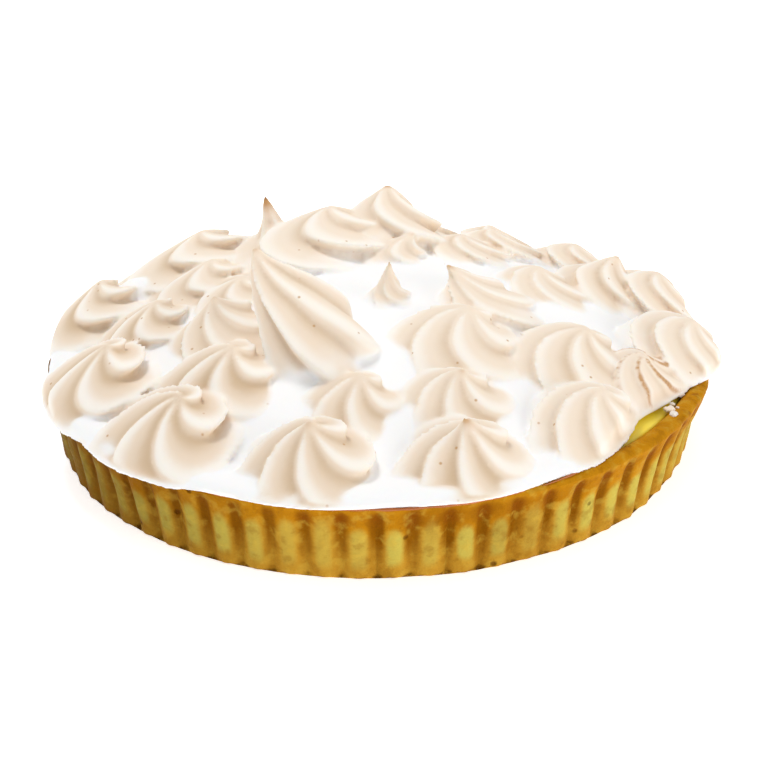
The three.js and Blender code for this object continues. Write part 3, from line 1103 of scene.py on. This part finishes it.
# %% [markdown]
# ## Baked pastry
#
# Where the pastry leaned on the tin it stays pale: the middle of each rib is straw coloured. The
# grooves and the rim catch more heat and go golden to brown. The groove value kept by the flute
# tree says where on a rib a point lies, and height above the base does the rest. Small flecks and
# pores break it up. The left of the case is darker, painted in as shade by a slow change of colour
# across the tart.

# %% Pastry colours
PALE = srgb(238, 218, 142)
GOLD = srgb(232, 160, 34)
TAN = srgb(234, 178, 84)
BROWN = srgb(166, 104, 4)
DEEP = srgb(96, 48, 4)
RUSSET = srgb(160, 84, 4)
FLECK = srgb(250, 208, 116)
SHADED = srgb(104, 66, 0)
BAKED = (0.65, 0.63, 0.28, 1.0)

# %% Heights on the wall, in metres
FOOT_ZONE = (0.002, 0.0065)
LOWER_WALL = (0.002, 0.018)
SHOULDER_ZONE = (0.0165, 0.0215)
UNDER_RIM = (0.0185, 0.0225)
RIM_ZONE = (0.0225, 0.0262)
UPPER_WALL = (0.018, 0.025)
LAST_EDGE = (0.0, 0.0014)
LEFT_ZONE = (-0.114, -0.01)

# %% Pastry masks
tree, shader = begin(pastry, 0.6, 0.03)
where = object_place(tree)
x, _, z = split_xyz(tree, where)
groove = attribute(tree, "groove")
luck = attribute(tree, "luck")
patch = noise(tree, 60.0, 3.0, where)
blotch = noise(tree, 24.0, 2.0, where)
fine = noise(tree, 420.0, 3.0, where)
spots = noise(tree, 130.0, 3.0, where)
mottle = noise(tree, 230.0, 4.0, where)
rough_patch = patch - 0.5
ragged = rough_patch * 0.7 + (fine - 0.5) * 0.3
foot = (z + rough_patch * 0.007 - luck * 0.002).ramp(*FOOT_ZONE)
edge_height = z + rough_patch * 0.009 + groove * 0.006 + luck * 0.004
below_rim = edge_height.ramp(*UNDER_RIM, 1.0, 0.0)
panel = foot * below_rim * (1.35 - groove * 3.6 + ragged).at_least(0.0).at_most(1.0)
panel = (panel * (luck + 0.45)).at_most(1.0)
valley = (groove + rough_patch * 0.4).ramp(0.2, 0.72) * z.ramp(*LOWER_WALL, 0.25, 1.15)
valley = valley * z.ramp(*RIM_ZONE, 1.0, 0.1) * (luck * 0.5 + 0.75)
under_rim = z.ramp(*SHOULDER_ZONE) * z.ramp(*RIM_ZONE, 1.0, 0.0) * (groove * 0.8 + 0.3)
# The left of the case, which is painted darker as shade.
left = x.ramp(*LEFT_ZONE, 1.0, 0.0)
foot_specks = z.ramp(*LAST_EDGE, 1.0, 0.0) * noise(tree, 420.0, 2.0, where).ramp(0.48, 0.6)
height, pores = baked_surface(tree, 700.0, 230.0, 230.0, 0.07)

# %% Pastry material
colour = layered(tree, GOLD, [
    (below_rim, TAN),
    (panel, PALE),
    (valley.at_most(1.0), BROWN),
    ((under_rim * blotch.ramp(0.3, 0.7)).at_most(0.85), RUSSET),
    (blotch.ramp(0.5, 0.75) * 0.45, BROWN),
    (spots.ramp(0.58, 0.72) * z.ramp(*UPPER_WALL, 0.15, 0.6), RUSSET),
    # Painted shade on the left of the case.
    (left * 0.82, SHADED),
    (mottle.ramp(0.5, 0.68) * (0.4 - left * 0.3), FLECK),
    (mottle.ramp(0.32, 0.48, 1.0, 0.0) * 0.35, BROWN),
    (foot_specks * 0.7, DEEP),
    (pores * 0.75, DEEP)])
colour = mix(tree, 1.0, colour, BAKED, "MULTIPLY")
tree.links.new(colour, shader.inputs["Base Color"])
bump(tree, shader, height, 0.8, 0.0016)
print("pastry material:", len(tree.nodes), "nodes")

# %% [markdown]
# ## Lemon, syrup and crumbs
#
# These three are small and simple: a soft cloud of noise between two near colours, and a fine
# bump. The filling and the syrup are glossy and the crumbs are dry.


# %% Simple finishes
def cloudy(material, gloss, cloud, colours, bumps):
    """A material between two colours; gloss is roughness and specular, cloud scale and detail."""
    tree, shader = begin(material, *gloss)
    where = object_place(tree)
    colour = mix(tree, noise(tree, *cloud, where), *colours)
    tree.links.new(colour, shader.inputs["Base Color"])
    scale, detail, strength, distance = bumps
    bump(tree, shader, noise(tree, scale, detail, where), strength, distance)
    return shader


LEMON, PALE_LEMON = srgb(255, 222, 40), srgb(255, 236, 90)
DARK_SYRUP, LIGHT_SYRUP = srgb(150, 70, 26), srgb(206, 128, 62)
DRY_CRUMB = srgb(236, 214, 186)
lemon_shader = cloudy(lemon_material, (0.28, 0.5), (40.0, 2.0), (LEMON, PALE_LEMON),
                      (130.0, 3.0, 0.25, 0.0006))
glow_through(lemon_shader, 0.2, (1.0, 0.7, 0.2), 0.003)
cloudy(syrup_material, (0.25, 0.5), (90.0, 2.0), (DARK_SYRUP, LIGHT_SYRUP),
       (300.0, 2.0, 0.2, 0.0003))
cloudy(crumb_material, (0.7, 0.3), (300.0, 2.0), (WHITE, DRY_CRUMB),
       (900.0, 3.0, 0.3, 0.0004))
print("materials:", len(bpy.data.materials))

# %% [markdown]
# ## Floor and light
#
# The photograph is cut out on pure white and lit softly from all round. A wide pale floor under
# a bright sky and two soft lamps give that: one stands low at the right like a window, and one
# hangs nearly overhead, so that the meringue stays open and white and its valleys still show.

# %% Floor
FLOOR_RADIUS = 25.0
FLOOR_GLOW = 0.6
floor_mesh = bmesh.new()
bmesh.ops.create_circle(floor_mesh, cap_ends=True, segments=96, radius=FLOOR_RADIUS)
floor = shape("floor", floor_mesh)
floor_material = bpy.data.materials.new("pale_floor")
tree, shader = begin(floor_material, 0.9, 0.1)
shader.inputs["Base Color"].default_value = (0.98, 0.98, 0.98, 1)
shader.inputs["Emission Color"].default_value = (1, 1, 1, 1)
shader.inputs["Emission Strength"].default_value = FLOOR_GLOW
floor.data.materials.append(floor_material)


# %% Lights
LAMP_AIM = Vector((0, 0, 0.03))
SKY_STRENGTH = 0.575


def soft_lamp(name, spot, size, watts, tint):
    """A square lamp that looks at the tart."""
    data = bpy.data.lights.new(name, "AREA")
    data.size = size
    data.energy = watts
    data.color = tint
    lamp = place(name, data)
    lamp.location = spot
    lamp.rotation_mode = "QUATERNION"
    lamp.rotation_quaternion = (LAMP_AIM - Vector(spot)).to_track_quat("-Z", "Y")


soft_lamp("window", (1.0, -0.75, 0.32), 0.6, 4.5, (1.0, 0.99, 0.97))
soft_lamp("overhead", (-0.28, 0.32, 1.05), 0.3, 5.4, (1.0, 1.0, 1.0))
sky = bpy.data.worlds.new("studio")
scene.world = sky
sky.use_nodes = True
background = sky.node_tree.nodes["Background"]
background.inputs["Color"].default_value = (1, 1, 1, 1)
background.inputs["Strength"].default_value = SKY_STRENGTH
scene.view_settings.view_transform = "Standard"
print("lamps:", len(bpy.data.lights))

# %% [markdown]
# ## Tie the pieces to the frame
#
# Each finished piece rides on a body, and the case, the filling and the meringue each hide the CAD
# solid they stand for. Nothing on a tart moves, so everything rides on the one body.

# %% Ride and replace
for piece, node, finish in ((case, "crust", "pastry"), (filling, "lemon_filling", "lemon"),
                            (fused, "meringue", "meringue")):
    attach(piece, "root")
    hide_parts(node)
for piece in (syrup, crumbs):
    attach(piece, "root")
